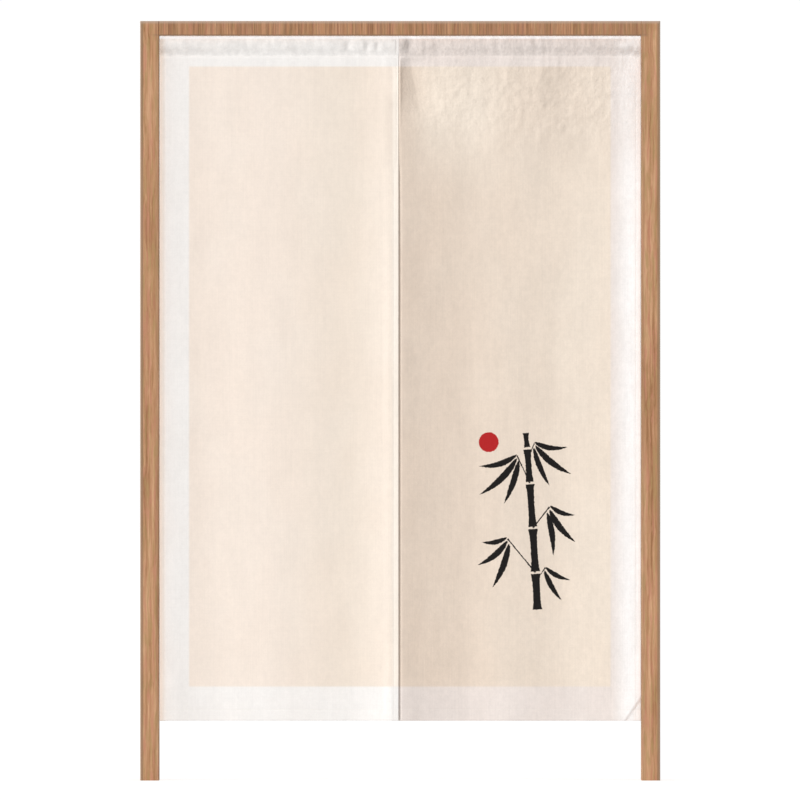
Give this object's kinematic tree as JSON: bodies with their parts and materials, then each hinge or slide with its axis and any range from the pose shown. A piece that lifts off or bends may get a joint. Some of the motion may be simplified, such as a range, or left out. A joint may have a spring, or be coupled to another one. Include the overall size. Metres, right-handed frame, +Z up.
{
  "type": "door curtain with wooden door frame",
  "caption": "Slit fabric door curtain with a rod-channel heading and bordered field, hung inside a wooden door frame that stands on its posts.",
  "frame": {"origin": "on the ground, midway between the two posts and midway through the frame's depth", "axes": "+Z up along the posts, +X to the right across the opening, -Y out of the printed side of the curtain"},
  "size_m": [0.916, 0.12, 1.3378],
  "materials": {
    "wood": "satin brown wood with fine straight grain and eased edges",
    "cloth_left": "pale cream slub linen weave with an off-white border",
    "cloth_right": "cream slub linen weave with an off-white border, and a small ink print"
  },
  "bodies": {
    "root": {"post_left": "wood", "post_right": "wood", "lintel": "wood", "heading_left": "cloth_left", "heading_right": "cloth_right", "panel_left": "cloth_left", "panel_right": "cloth_right"}
  },
  "joints": []
}
